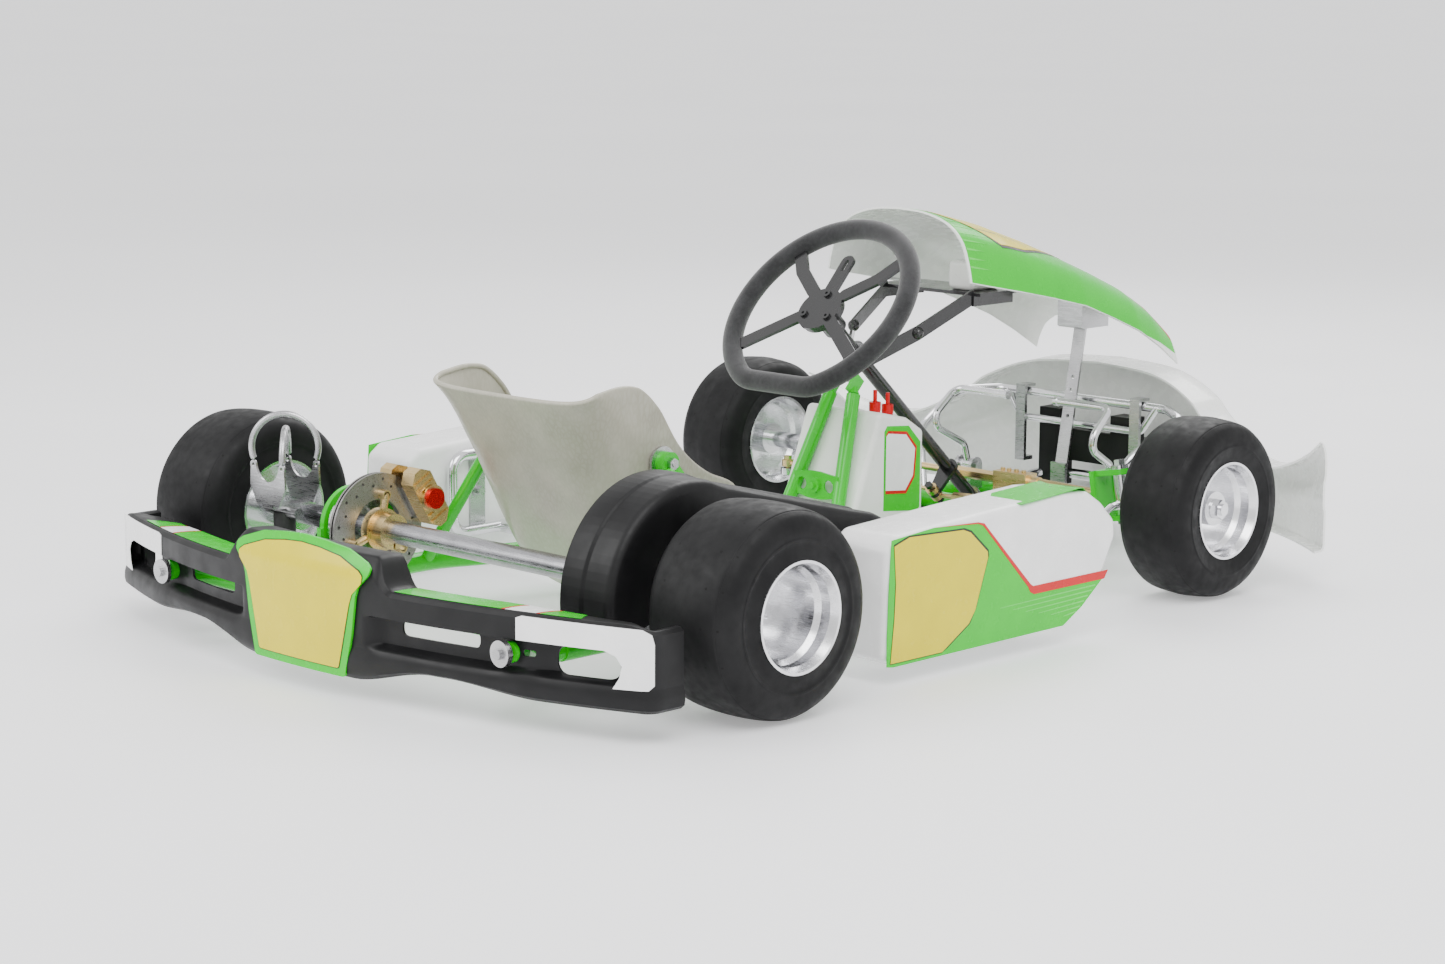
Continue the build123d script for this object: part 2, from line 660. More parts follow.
def fuel_tank():
    side = make_face(Polyline((tank_x0, 0, tank_z0), (tank_x1, 0, tank_z0), (tank_x1, 0, tank_top_front),
                              (tank_x1 - 34, 0, tank_top_rear - 14), (tank_back_at(tank_top_rear), 0, tank_top_rear),
                              close=True))
    tank = Pos(0, tank_half, 0) * extrude(side, 2 * tank_half, dir=(0, -1, 0))
    tank = fillet(tank.edges().filter_by(Axis.Y), 9)
    tank = fillet(tank.faces().filter_by(Axis.Y).edges(), 7)
    for x, y in cap_places:
        tank -= bar((x, y, 200), (x, y, tank_top_at(x) + 10), 8)
    return tank


cap_places = [(705.0, -40.0), (732.0, -40.0)]


def tank_top_at(x):
    """Height of the tank's sloping top at x."""
    back = tank_back_at(tank_top_rear)
    slope = 14 / (tank_x1 - 34 - back)
    return tank_top_rear - slope * (x - back)


def tank_caps():
    """Screw caps with brass hose tails, seated in the tank's mouths."""
    caps = []
    for x, y in cap_places:
        z = tank_top_at(x)
        caps.append(bar((x, y, z + 2.5), (x, y, z + 15), 8.5) + bar((x, y, z + 15), (x, y, z + 32), 3) +
                    bar((x, y, z - 3), (x, y, z + 2.5), 7.9))
    return caps


def tank_bolt():
    x, z = 624.0, 141.0
    return bar((x - 5, 0, z), (x, 0, z), 11) + bar((x - 9, 0, z), (x - 5, 0, z), 5) + \
        bar((x - 5, 0, z), (tank_back_at(z - 3), 0, z), 3)


def tank_cradle():
    """Two straps under the tank, from the cross tube behind it to the one ahead."""
    straps = []
    for y in (-45, 45):
        strap_a = box(cross_x[2], cross_x[3], y - 10, y + 10, tank_z0 - 5, tank_z0)
        ends = box(cross_x[2] - 4, cross_x[2] + 4, y - 10, y + 10, rail_z, tank_z0) + \
            box(cross_x[3] - 4, cross_x[3] + 4, y - 10, y + 10, rail_z, tank_z0)
        piece = strap_a + ends - cross_core(cross_x[2]) - cross_core(cross_x[3])
        core = bar(upright_foot, upright_top, upright_r)
        piece = (piece - core) - mirror_y(core)
        straps.append(max(piece.solids(), key=lambda s: s.volume))
    return straps


# ---------------------------------------------------------------- pedals

pedal_d = 12.0
pedal_x = wheelbase + 174.0
pedal_y = 138.0
pedal_z = 96.0
pedal_lug_t = 5.0


def pedal():
    """Left pedal: pivot barrel and bent bar up to the foot rest."""
    barrel = bar((pedal_x, pedal_y - 12, pedal_z), (pedal_x, pedal_y + 12, pedal_z), 9)
    points = [(pedal_x, pedal_y, pedal_z), (pedal_x - 4, pedal_y + 6, 130), (pedal_x - 76, pedal_y + 18, 168),
              (pedal_x - 16, pedal_y + 14, 218), (pedal_x - 16, pedal_y - 86, 218)]
    leg = rod(points, pedal_d, [16.0, 20.0, 18.0])
    foot = barrel + leg
    return foot - bar((pedal_x, pedal_y - 30, pedal_z), (pedal_x, pedal_y + 30, pedal_z), 4 + run_fit)


def pedal_pad():
    """Rubber end on the foot rest."""
    return bar((pedal_x - 16, pedal_y - 92, 218), (pedal_x - 16, pedal_y - 86, 218), 7.5)


def pedal_mount():
    """Two lugs on the hoop with the pivot bolt across them."""
    y0 = pedal_y - 12 - face_gap
    y1 = pedal_y + 12 + face_gap
    lugs = []
    for y in (y0 - pedal_lug_t, y1):
        lug = box(pedal_x - 14, pedal_x + 14, y, y + pedal_lug_t, rail_z, pedal_z)
        lug += bar((pedal_x, y, pedal_z), (pedal_x, y + pedal_lug_t, pedal_z), 14)
        lug -= rod(hoop_path, tube_d, 50.0)
        lugs.append(max(lug.solids(), key=lambda s: s.center().Z))
    base = box(pedal_x - 14, pedal_x + 14, y0 - pedal_lug_t, y1 + pedal_lug_t, rail_z + 10, rail_z + 15)
    base -= rod(hoop_path, tube_d, 50.0)
    base = max(base.solids(), key=lambda s: s.volume)
    bolt = bar((pedal_x, y0 - pedal_lug_t - 5, pedal_z), (pedal_x, y1 + pedal_lug_t + 5, pedal_z), 4)
    bolt += bar((pedal_x, y0 - pedal_lug_t - 5, pedal_z), (pedal_x, y0 - pedal_lug_t, pedal_z), 7, sides=6)
    bolt += bar((pedal_x, y1 + pedal_lug_t, pedal_z), (pedal_x, y1 + pedal_lug_t + 5, pedal_z), 7, sides=6)
    return lugs[0] + lugs[1] + base + bolt


# ---------------------------------------------------------------- seat

seat_half = 150.0
seat_t = 4.0
seat_back = [(28, 328), (52, 280), (80, 222), (107, 162), (131, 112), (158, 72), (194, 48), (250, 40), (325, 40)]
seat_rim = [(325, 40), (334, 48), (338, 90), (330, 150), (304, 196), (262, 216), (224, 239), (197, 266),
            (170, 306), (143, 334), (112, 345), (66, 341), (28, 328)]
stay_x, stay_z = 172.0, 244.0


def along(points, y=0.0):
    return [(x, y, z) for x, z in points]


def offset_line(points, gap):
    """Points of an open outline moved sideways by gap, towards its left."""
    moved = []
    for k, (x, z) in enumerate(points):
        a = points[max(k - 1, 0)]
        b = points[min(k + 1, len(points) - 1)]
        dx, dz = b[0] - a[0], b[1] - a[1]
        size = sqrt(dx * dx + dz * dz)
        moved.append((x - gap * dz / size, z + gap * dx / size))
    return moved


def seat():
    """Fibreglass bucket: a curved back and floor between two side walls."""
    outer = Spline(*along(seat_back, seat_half))
    inner = Spline(*along(offset_line(seat_back, seat_t), seat_half))
    sheet = make_face(outer + Line(outer @ 1, inner @ 1) + inner + Line(inner @ 0, outer @ 0))
    shell = extrude(sheet, 2 * seat_half, dir=(0, -1, 0))
    side = make_face(outer + Polyline(*along(seat_rim, seat_half)))
    for y in (0, 2 * seat_half - seat_t):
        shell += Pos(0, -y, 0) * extrude(side, seat_t, dir=(0, -1, 0))
    shell -= bar((stay_x, -seat_half - 5, stay_z), (stay_x, seat_half + 5, stay_z), 4.2)
    return shell


def seat_stay():
    """Left stay: a tube down to the rail behind and a flat strut to the rail ahead, meeting at the seat bolt."""
    y = seat_half + 12
    tube = bar((stay_x - 3, y + 10, stay_z - 8), (122, bearing_y - 3, rail_z), 9)
    tab = bar((stay_x, seat_half + 4, stay_z), (stay_x, seat_half + 18, stay_z), 15)
    top, foot = Vector(stay_x + 2, y + 4, stay_z - 6), Vector(282, 219, rail_z)
    base = Plane(origin=top, z_dir=foot - top, x_dir=(1, 0, 0))
    flat = extrude(base * Rectangle(24, 5), (foot - top).length)
    piece = (tube + tab + flat) - bar((stay_x, 0, stay_z), (stay_x, 400, stay_z), 4.2)
    piece -= bar((stay_x, seat_half + 18, stay_z), (stay_x, 400, stay_z), 9)
    return piece - rod(rail_path, tube_d, rail_bends)


def seat_bolt():
    """Bolt with a big rubber washer on each side of the shell."""
    y = seat_half
    shank = bar((stay_x, y - seat_t - 5, stay_z), (stay_x, y + 26, stay_z), 4)
    head = bar((stay_x, y - seat_t - 9, stay_z), (stay_x, y - seat_t - 4, stay_z), 7)
    washers = tube_bar((stay_x, y - seat_t - 4, stay_z), (stay_x, y - seat_t, stay_z), 16, 4) + \
        tube_bar((stay_x, y, stay_z), (stay_x, y + 4, stay_z), 21, 4)
    nut = bar((stay_x, y + 18, stay_z), (stay_x, y + 25, stay_z), 7, sides=6)
    return shank + head + washers + nut


def seat_tab():
    """Flat lug from the cross tube under the front of the seat."""
    z = seat_back[-1][1] - 0.5
    tab = box(262, cross_x[1], 80, 110, z - 5, z) + box(cross_x[1] - 6, cross_x[1], 80, 110, z - 5, rail_z)
    return tab - cross_core(cross_x[1])


# ---------------------------------------------------------------- side pods

pod_in, pod_out = 408.0, 505.0
pod_wall = 3.5
pod_side = [(210, 30), (240, 22), (560, 24), (640, 74), (670, 130), (668, 154), (610, 198), (560, 202), (432, 196),
            (235, 186), (214, 172)]
bar_d = 16.0
bar_y = 396.0
bar_x0, bar_x1 = 285.0, 590.0
bar_z0, bar_z1 = 60.0, 172.0
spigot_x = [380.0, 545.0]


def pod():
    """Blow-moulded side box, a skin open underneath."""
    side = make_face(Polyline(*along(pod_side, pod_out), close=True))
    block = extrude(side, pod_out - pod_in, dir=(0, -1, 0))
    hollow = offset(side, -pod_wall)
    hollow = Pos(0, -pod_wall, 0) * extrude(hollow, pod_out - pod_in - 2 * pod_wall, dir=(0, -1, 0))
    hollow += box(250, 550, pod_in + pod_wall, pod_out - pod_wall, 0, 60)
    return block - hollow


def side_bar():
    """Chromed loop beside the seat with two spigots into the rail."""
    mid = (bar_x0 + bar_x1) / 2
    rear = rod([(mid, bar_y, bar_z0), (bar_x0, bar_y, bar_z0), (bar_x0, bar_y, bar_z1), (mid, bar_y, bar_z1)],
               bar_d, 24.0)
    front = rod([(mid, bar_y, bar_z0), (bar_x1, bar_y, bar_z0), (bar_x1, bar_y, bar_z1), (mid, bar_y, bar_z1)],
                bar_d, 24.0)
    loop = rear + front
    for x in spigot_x:
        loop += bar((x, 170, bar_z0), (x, bar_y, bar_z0), 10)
    loop -= rod(rail_path, tube_d, rail_bends)
    return max(loop.solids(), key=lambda s: s.volume)


def pod_bracket():
    """Flat strap across the loop with the pod's bolt through it."""
    x, y0, y1 = bar_x0 + 55, bar_y + bar_d / 2, pod_in
    z = (bar_z0 + bar_z1) / 2
    flat = box(x - 14, x + 14, y0, y1, bar_z0 - 6, bar_z1 + 6)
    bolt = bar((x, y0 - 10, z), (x, y0, z), 6, sides=6) + bar((x, y0, z), (x, y0 - 3, z), 10)
    return flat + bolt


# ---------------------------------------------------------------- rear bumper

bumper_half = 525.0
bumper_end_x = -194.0
bumper_depth = 55.0
bumper_wall = 4.0
bumper_z0, bumper_z1 = 20.0, 130.0
hump_half, hump_z = 112.0, 178.0
panel_half = 92.0
bolt_y, bolt_z = 333.0, 91.0


def crescent(x_mid, x_end, half, depth, z):
    """Plan of a bumper: an arc across the kart and the same arc moved by depth."""
    back = ThreePointArc((x_end, -half, z), (x_mid, 0, z), (x_end, half, z))
    front = ThreePointArc((x_end + depth, half, z), (x_mid + depth, 0, z), (x_end + depth, -half, z))
    return make_face(back + Line(back @ 1, front @ 0) + front + Line(front @ 1, back @ 0))


def bumper_back_x(y):
    """Back face of the bumper at y."""
    mid = -rear_overhang + 5
    rise = bumper_end_x - mid
    r = (bumper_half ** 2 + rise ** 2) / (2 * rise)
    return mid + r - sqrt(r * r - y * y)


def rear_bumper():
    """Moulded bumper, a shell open to the front, with slots and a raised number panel."""
    mid, w = -rear_overhang + 5, bumper_wall
    body = extrude(crescent(mid, bumper_end_x, bumper_half, bumper_depth, bumper_z0), bumper_z1 - bumper_z0,
                   dir=(0, 0, 1))
    hump = extrude(crescent(mid, bumper_end_x, bumper_half, bumper_depth, bumper_z0), hump_z - bumper_z0,
                   dir=(0, 0, 1))
    keep = make_face(Polyline((0, -hump_half - 26, bumper_z1 - 10), (0, hump_half + 26, bumper_z1 - 10),
                              (0, hump_half, hump_z), (0, -hump_half, hump_z), close=True))
    hump = hump & (Pos(-400, 0, 0) * extrude(keep, 400, dir=(1, 0, 0)))
    body += hump
    inner = extrude(crescent(mid + w, bumper_end_x + w, bumper_half - w, bumper_depth + 20, bumper_z0 + w),
                    bumper_z1 - bumper_z0 - 2 * w, dir=(0, 0, 1))
    inner &= box(-400, 0, -bumper_half + w, bumper_half - w, 0, 300)
    body -= inner
    body -= box(mid + 14, 0, -hump_half + w, hump_half - w, bumper_z0 + w, hump_z - w)
    for s in (1, -1):
        body -= box(-400, 0, s * 136 - 74, s * 136 + 74, 62, 76)
        body -= box(-400, 0, s * 430 - 30, s * 430 + 30, 74, 88)
        x = bumper_back_x(bolt_y)
        body -= bar((x - 20, s * bolt_y, bolt_z), (x + 20, s * bolt_y, bolt_z), 4.2)
    body += extrude(number_panel_outline(), 8, dir=(1, 0, 0))
    return body


def number_panel_outline():
    """Raised field for a race number: waisted sides and a domed top."""
    return make_face(Polyline((-rear_overhang, -panel_half, 26), (-rear_overhang, panel_half, 26),
                              (-rear_overhang, panel_half + 4, 110), (-rear_overhang, panel_half + 20, 150),
                              (-rear_overhang, 60, 172), (-rear_overhang, -60, 172),
                              (-rear_overhang, -panel_half - 20, 150), (-rear_overhang, -panel_half - 4, 110),
                              close=True))


def bumper_support():
    """Tube plugged into the rail's open end, turned out to the bumper."""
    x = bumper_back_x(bolt_y) + bumper_wall
    points = [(-60, bearing_y, rail_z), (-150, bearing_y, rail_z), (x + 20, bolt_y, bolt_z)]
    arm = rod(points, tube_d - 2 * tube_wall, 40.0)
    pad = bar((x, bolt_y, bolt_z), (x + 24, bolt_y, bolt_z), 13)
    return (arm + pad) - bar((x - 20, bolt_y, bolt_z), (x + 30, bolt_y, bolt_z), 4.2) - rear_bumper()


def bumper_bolt():
    x = bumper_back_x(bolt_y)
    r = 16
    washer = bar((x - 9, bolt_y, bolt_z), (x - 1.5, bolt_y, bolt_z), r)
    washer -= extrude(crescent(-rear_overhang + 5, bumper_end_x, bumper_half, bumper_depth, 0), 300, dir=(0, 0, 1))
    head = bar((x - 14, bolt_y, bolt_z), (x - 9, bolt_y, bolt_z), 6.5)
    shank = bar((x - 9, bolt_y, bolt_z), (x + 26, bolt_y, bolt_z), 4)
    return washer + head + shank


# ---------------------------------------------------------------- chain guard

guard_in, guard_out = -300.0, -384.0
guard_wall = 3.0
guard_r = 143.0
guard_front_x, guard_front_z = 354.0, 150.0
guard_z0 = 84.0


def guard_profile(inset):
    """Side of the guard: round over the sprocket, then sloping down to the front."""
    r = guard_r - inset
    z = rear_tyre_r
    a = radians(72)
    nose = (guard_front_x - 14 - inset, guard_front_z + 37 - inset)
    back = Line((-r, 0, guard_z0 - 2 * inset), (-r, 0, z))
    top = ThreePointArc((-r, 0, z), (-r * cos(radians(45)), 0, z + r * sin(radians(45))), (r * cos(a), 0, z + r * sin(a)))
    rest = Polyline((r * cos(a), 0, z + r * sin(a)), (nose[0], 0, nose[1]), (guard_front_x - inset, 0, guard_front_z),
                    (guard_front_x - inset, 0, guard_z0 - 2 * inset), (-r, 0, guard_z0 - 2 * inset))
    return make_face(back + top + rest)


def chain_guard():
    """Plastic cover over chain and sprocket, open underneath, slotted for the axle."""
    skin = Pos(0, guard_in, 0) * extrude(guard_profile(0), guard_in - guard_out, dir=(0, -1, 0))
    depth = guard_in - guard_out - 2 * guard_wall
    skin -= Pos(0, guard_in - guard_wall, 0) * extrude(guard_profile(guard_wall), depth, dir=(0, -1, 0))
    slot = 32.0
    z = rear_tyre_r
    skin -= bar((0, guard_in + 10, z), (0, guard_out - 10, z), slot)
    skin -= box(-slot, slot, guard_out - 10, guard_in + 10, 0, z)
    return skin


def guard_bracket():
    """Two flat steel arms from the rail to the guard's inner wall."""
    arms = []
    for x in (72, 215):
        z = guard_z0 + 10
        arm = box(x - 10, x + 10, guard_in, -240, z, z + 4) + box(x - 10, x + 10, -254, -250, rail_z, z + 4)
        arm += box(x - 10, x + 10, guard_in, guard_in + 4, z - 6, z + 24)
        arm -= mirror_y(rod(rail_path, tube_d, rail_bends))
        arm -= mirror_y(hanger())
        arms.append(max(arm.solids(), key=lambda s: s.volume))
    return arms


# ---------------------------------------------------------------- brake

caliper_angle = 30.0


def on_caliper(shape):
    """Place a shape drawn with x outwards from the axle and z along the disc's rim."""
    return Pos(0, brake_y, rear_tyre_r) * Rot(0, -caliper_angle, 0) * shape


def caliper():
    """Two-piston caliper over the disc's rim: two halves and a bridge, with ribs."""
    slot = brake_t / 2 + 7.5
    near = Pos(76, -slot - 12, 0) * Box(36, 24, 88)
    far = Pos(76, slot + 12, 0) * Box(36, 24, 88)
    bridge = Pos(88, 0, 0) * Box(12, 2 * slot + 4, 62)
    halves = [chamfer(half.edges().filter_by(Axis.Y), 12) for half in (near, far)]
    body = halves[0] + halves[1] + bridge
    body += Pos(76, -slot - 27, 0) * Rot(90, 0, 0) * Cylinder(18, 8)
    for z in (-30, -20, 20, 30):
        body += Pos(76, -slot - 24, z) * Box(30, 6, 3)
    return on_caliper(body)


def piston_cap():
    slot = brake_t / 2 + 7.5
    return on_caliper(Pos(76, -slot - 33.5, 0) * Rot(90, 0, 0) * Cylinder(14, 5))


def brake_pads():
    """Friction blocks on steel backs, either side of the disc."""
    pads = []
    inside = brake_t / 2 + pad_gap
    for s in (1, -1):
        thick = 7.5 + brake_t / 2 - inside
        pads.append(on_caliper(Pos(66, s * (inside + thick / 2), 0) * Box(17, thick, 50)))
    return pads


def caliper_bracket():
    """Plate from the bearing hanger to the caliper's far half."""
    y1 = bearing_y - 4
    y0 = brake_y + brake_t / 2 + 7.5 + 24
    plate = box(46, 92, y0, y1, rail_z + 20, rear_tyre_r + 62)
    foot = box(46, 92, y0, bearing_y, rail_z, rail_z + 20) - rod(rail_path, tube_d, rail_bends)
    piece = plate + foot - turned([(y0 - 1, 0), (y0 - 1, cassette_r + 10), (y1 + 1, cassette_r + 10), (y1 + 1, 0)],
                                  0, rear_tyre_r)
    return max(piece.solids(), key=lambda s: s.volume)


# ---------------------------------------------------------------- exhaust cradle (left rear)

cradle_y = 352.0
cradle_x = [-78.0, -20.0]
cradle_base_z = 152.0
horn_half = 31.0
horn_z = 205.0
mount_x = -50.0


def saddle(x):
    """U-shaped plate with two eyed horns."""
    outline = make_face(Polyline((x, -24, cradle_base_z), (x, 24, cradle_base_z), (x, horn_half + 7, 178),
                                 (x, horn_half + 5, horn_z), (x, -horn_half - 5, horn_z), (x, -horn_half - 7, 178),
                                 close=True))
    plate = Pos(0, cradle_y, 0) * extrude(outline, 3, dir=(1, 0, 0))
    plate -= bar((x - 5, cradle_y, horn_z + 4), (x + 9, cradle_y, horn_z + 4), 25)
    for s in (1, -1):
        y = cradle_y + s * horn_half
        plate += bar((x, y, horn_z), (x + 3, y, horn_z), 6)
        plate -= bar((x - 5, y, horn_z), (x + 9, y, horn_z), 3)
    return plate


def exhaust_cradle():
    """Two saddles on a short base channel."""
    base = box(cradle_x[0], cradle_x[1] + 3, cradle_y - 12, cradle_y + 12, cradle_base_z - 5, cradle_base_z)
    cross = bar((mount_x, cradle_y - 32, cradle_base_z - 11), (mount_x, cradle_y + 32, cradle_base_z - 11), 8)
    cradle = base + cross + saddle(cradle_x[0]) + saddle(cradle_x[1])
    return max(cradle.solids(), key=lambda s: s.volume)


def cradle_springs():
    """Long springs that strap the silencer down, hooked across empty; plain round bars here."""
    z0 = horn_z + 8.5
    y0, y1 = cradle_y - horn_half, cradle_y + horn_half
    wide = ThreePointArc((cradle_x[0] + 1.5, y1, z0), (mount_x + 1, cradle_y + 3, z0 + 60),
                         (cradle_x[1] + 1.5, y0, z0))
    small = ThreePointArc((cradle_x[0] + 1.5, y0, z0), (mount_x + 1, cradle_y - 3, z0 + 40),
                          (cradle_x[1] + 1.5, y1, z0))
    springs = []
    for arc in (wide, small):
        coil = sweep(Plane(origin=arc @ 0, z_dir=arc % 0) * Circle(4.5), path=arc)
        for end in (arc @ 0, arc @ 1):
            coil += bar((end.X, end.Y, horn_z + 6 + face_gap), (end.X, end.Y, end.Z + 3), 1.3)
        springs.append(coil)
    return springs


def cradle_mount():
    """Steel arm from the bearing hanger, a rubber block and its bolt under the cradle."""
    z = 92.0
    arm = box(mount_x - 10, mount_x + 10, bearing_y + 4, cradle_y + 14, z, z + 4)
    arm += box(mount_x - 10, mount_x + 10, bearing_y + 4, bearing_y + 8, z - 6, z + 22)
    stem = bar((mount_x, cradle_y, z - 6), (mount_x, cradle_y, 112), 5)
    return arm + stem


def cradle_rubber():
    top = cradle_base_z - 11
    block = bar((mount_x, cradle_y, 112), (mount_x, cradle_y, top), 15)
    return block - bar((mount_x, cradle_y - 40, top), (mount_x, cradle_y + 40, top), 8 + face_gap)


# ---------------------------------------------------------------- front end

upper_x, upper_z = wheelbase + 282.0, 205.0
upper_half = 222.0
lower_x = wheelbase + 312.0
lower_half = 155.0


def bumper_upper():
    """Upper hoop, swept back and down to the front hoop of the frame, with a dropped inner bar."""
    d = 14.0
    hoop = rod([(1060, 175, rail_z + 4), (1085, 205, 150), (upper_x - 40, upper_half, upper_z - 6),
                (upper_x, upper_half - 60, upper_z), (upper_x, -upper_half + 60, upper_z),
                (upper_x - 40, -upper_half, upper_z - 6), (1085, -205, 150), (1060, -175, rail_z + 4)], d,
               [40.0, 40.0, 30.0, 30.0, 40.0, 40.0])
    drop_bar = rod([(upper_x - 2, 146, upper_z), (upper_x - 4, 118, 165), (upper_x - 4, -118, 165),
                    (upper_x - 2, -146, upper_z)], 12.0, [20.0, 20.0])
    feet = []
    for s in (1, -1):
        feet.append(bar((1060, s * 130, rail_z), (1060, s * 182, rail_z), 8))
    piece = hoop + (drop_bar - hoop) + feet[0] + feet[1]
    return piece - rod(hoop_path, tube_d, 50.0)


def bumper_lower():
    """Lower tube, plugged into the front of the hoop at two places."""
    d = 16.0
    tube = rod([(hoop_x, 95, rail_z + 6), (lower_x, 95, 78), (lower_x, -95, 78), (hoop_x, -95, rail_z + 6)], d, 40.0)
    return tube - rod(hoop_path, tube_d, 50.0)


def fairing_mount():
    """Two black plastic drop brackets between the bumpers, with a window in each, joined by a bar."""
    pieces = []
    for y in (-70, 70):
        plate = box(lower_x - 22, lower_x + 12, y - 20, y + 20, 60, 182)
        plate -= box(lower_x - 14, lower_x + 20, y - 14, y + 14, 95, 150)
        pieces.append(plate)
    block = pieces[0] + pieces[1] + box(lower_x - 6, lower_x + 2, -52, 52, 100, 150)
    block -= bumper_lower()
    for core in (bumper_upper(),):
        block -= core
    return block


def hook_clamps():
    """Over-centre hooks from the lower bumper to the top of the upper one."""
    hooks = []
    for y in (-112, 112):
        x = upper_x
        hook = box(x - 14, x - 8, y - 9, y + 9, 96, upper_z + 12) + box(x - 14, x + 12, y - 9, y + 9, upper_z + 8,
                                                                      upper_z + 12)
        hook += box(x - 14, lower_x - 22, y - 9, y + 9, 96, 102)
        hook += box(x - 14, lower_x - 22, y - 9, min(y + 22, y + 9), 96, 102)
        hooks.append(hook - bumper_upper())
    return [max(h.solids(), key=lambda s: s.volume) for h in hooks]


spoiler_half = 500.0
spoiler_end_x = wheelbase + 216.0
spoiler_back_x = wheelbase + 205.0      # the wings' rear edges, clear of the steered tyres
spoiler_wall = 4.0
spoiler_z0 = 42.0
spoiler_top = [(0, 262), (120, 254), (198, 226), (240, 196), (330, 150), (420, 160), (500, 204)]


def front_spoiler():
    """Nose fairing: a wide curved shell, high in the middle, kicked up at its ends, open behind."""
    tip = wheelbase + front_overhang
    w = spoiler_wall
    block = extrude(crescent(tip, spoiler_end_x, spoiler_half, -90, spoiler_z0), 240, dir=(0, 0, 1))
    line = [(y, z) for y, z in reversed(spoiler_top)] + [(-y, z) for y, z in spoiler_top[1:]]
    top = Spline(*[(0, y, z) for y, z in line])
    rest = Polyline((0, -spoiler_half, spoiler_top[-1][1]), (0, -spoiler_half, 0), (0, spoiler_half, 0),
                    (0, spoiler_half, spoiler_top[-1][1]))
    outer = Pos(wheelbase + 50, 0, 0) * extrude(make_face(top + rest), front_overhang, dir=(1, 0, 0))
    inner_plan = extrude(crescent(tip - w, spoiler_end_x - w, spoiler_half - w, -120, spoiler_z0 - 10), 260,
                         dir=(0, 0, 1))
    cavity = inner_plan & (Pos(0, 0, -w) * outer)
    cavity &= box(wheelbase + 50, tip + 50, -spoiler_half + w, spoiler_half - w, 0, 400)
    ahead = box(spoiler_back_x, tip + 50, -spoiler_half, spoiler_half, 0, 400)
    return ((block & outer) & ahead) - cavity


def spoiler_pads():
    """Rubber blocks of the fairing mount that the nose sits against."""
    pads = []
    shell = front_spoiler()
    for y in (-70, 70):
        pad = box(lower_x + 12, wheelbase + front_overhang + 20, y - 16, y + 16, 100, 140) - shell
        pads.append(min(pad.solids(), key=lambda s: s.center().X))
    return pads


nassau_t = 4.0
nassau_stations = [(795, 138, 428, 527), (900, 142, 408, 503), (1050, 148, 376, 452), (1180, 148, 328, 402),
                   (1288, 140, 268, 338)]


def nassau_section(x, half, z0, z1, inset):
    """Arch across the kart at x."""
    h, w = z1 - z0, half - inset
    points = [(x, w, z0), (x, w * 0.90, z0 + h * 0.50), (x, w * 0.66, z0 + h * 0.84), (x, 0, z1 - inset)]
    points[2] = (x, w * 0.66, z0 + h * 0.84 - inset)
    return points + [(px, -py, pz) for px, py, pz in reversed(points[:-1])]


def nassau_panel():
    """Number fairing behind the nose: an arched sheet, lofted along its length."""
    faces = []
    for station in nassau_stations:
        outer = Spline(*nassau_section(*station, 0))
        inner = Spline(*nassau_section(*station, nassau_t))
        faces.append(make_face(outer + Line(outer @ 0, inner @ 0) + inner + Line(inner @ 1, outer @ 1)))
    return loft(faces)


def nassau_core():
    """The space under the panel and the panel itself, for trimming brackets."""
    faces = []
    for x, half, z0, z1 in nassau_stations:
        outer = Spline(*nassau_section(x, half, z0, z1, 0))
        faces.append(make_face(outer + Line(outer @ 1, outer @ 0)))
    return loft(faces)


def nassau_arms():
    """Slotted black bars from the column bush up to the panel's bracket."""
    arms = []
    for s in (1, -1):
        a = Vector(*on_column(108, 14, s * 13))
        elbow = Vector(770, s * 62, 352)
        b = Vector(868, s * 84, 400)
        for p, q in ((a, elbow), (elbow, b)):
            base = Plane(origin=p, z_dir=q - p, x_dir=Vector(0, 0, 1).cross(q - p))
            arms.append((s, extrude(base * Rectangle(4, 20), (q - p).length)))
    left = [shape for s, shape in arms if s == 1]
    arm = left[0] + left[1] + Pos(770, 62, 352) * Sphere(9)
    arm -= column_bush()
    arm = max(arm.solids(), key=lambda s: s.volume)
    return both(arm)


def nassau_bracket():
    """Cross plate under the panel that joins the two arms and carries the bottle."""
    plate = box(862, 950, -100, 100, 400, 405)
    ears = box(862, 950, 84, 88, 385, 400) + box(862, 950, -88, -84, 385, 400)
    wings = box(880, 940, -160, 160, 400, 404) & nassau_core()
    piece = plate + ears + wings - nassau_panel()
    for arm in nassau_arms():
        piece -= arm
    return max(piece.solids(), key=lambda s: s.volume)


def nassau_strut():
    """Flat drilled bar from a tab on the hoop up to the pad under the panel."""
    foot, top = Vector(hoop_x, 0, rail_z + 22), Vector(1226, 0, 330)
    base = Plane(origin=foot, z_dir=top - foot, x_dir=(0, 1, 0))
    piece = extrude(base * Rectangle(22, 4), (top - foot).length)
    for k in range(4):
        c = foot + (top - foot) * (0.40 + 0.08 * k)
        piece -= bar(tuple(c - Vector(10, 0, 0)), tuple(c + Vector(10, 0, 0)), 3)
    tab = box(hoop_x - 5, hoop_x + 1, -14, 14, rail_z, rail_z + 50) - rod(hoop_path, tube_d, 50.0)
    tab = max(tab.solids(), key=lambda s: s.center().Z)
    return [(piece - tab).solids()[0], tab]


def nassau_pad():
    """Moulded foot between the strut and the panel."""
    pad = box(1196, 1262, -24, 24, 318, 420) & nassau_core()
    pad -= nassau_panel()
    pad -= nassau_strut()[0]
    return max(pad.solids(), key=lambda s: s.volume)


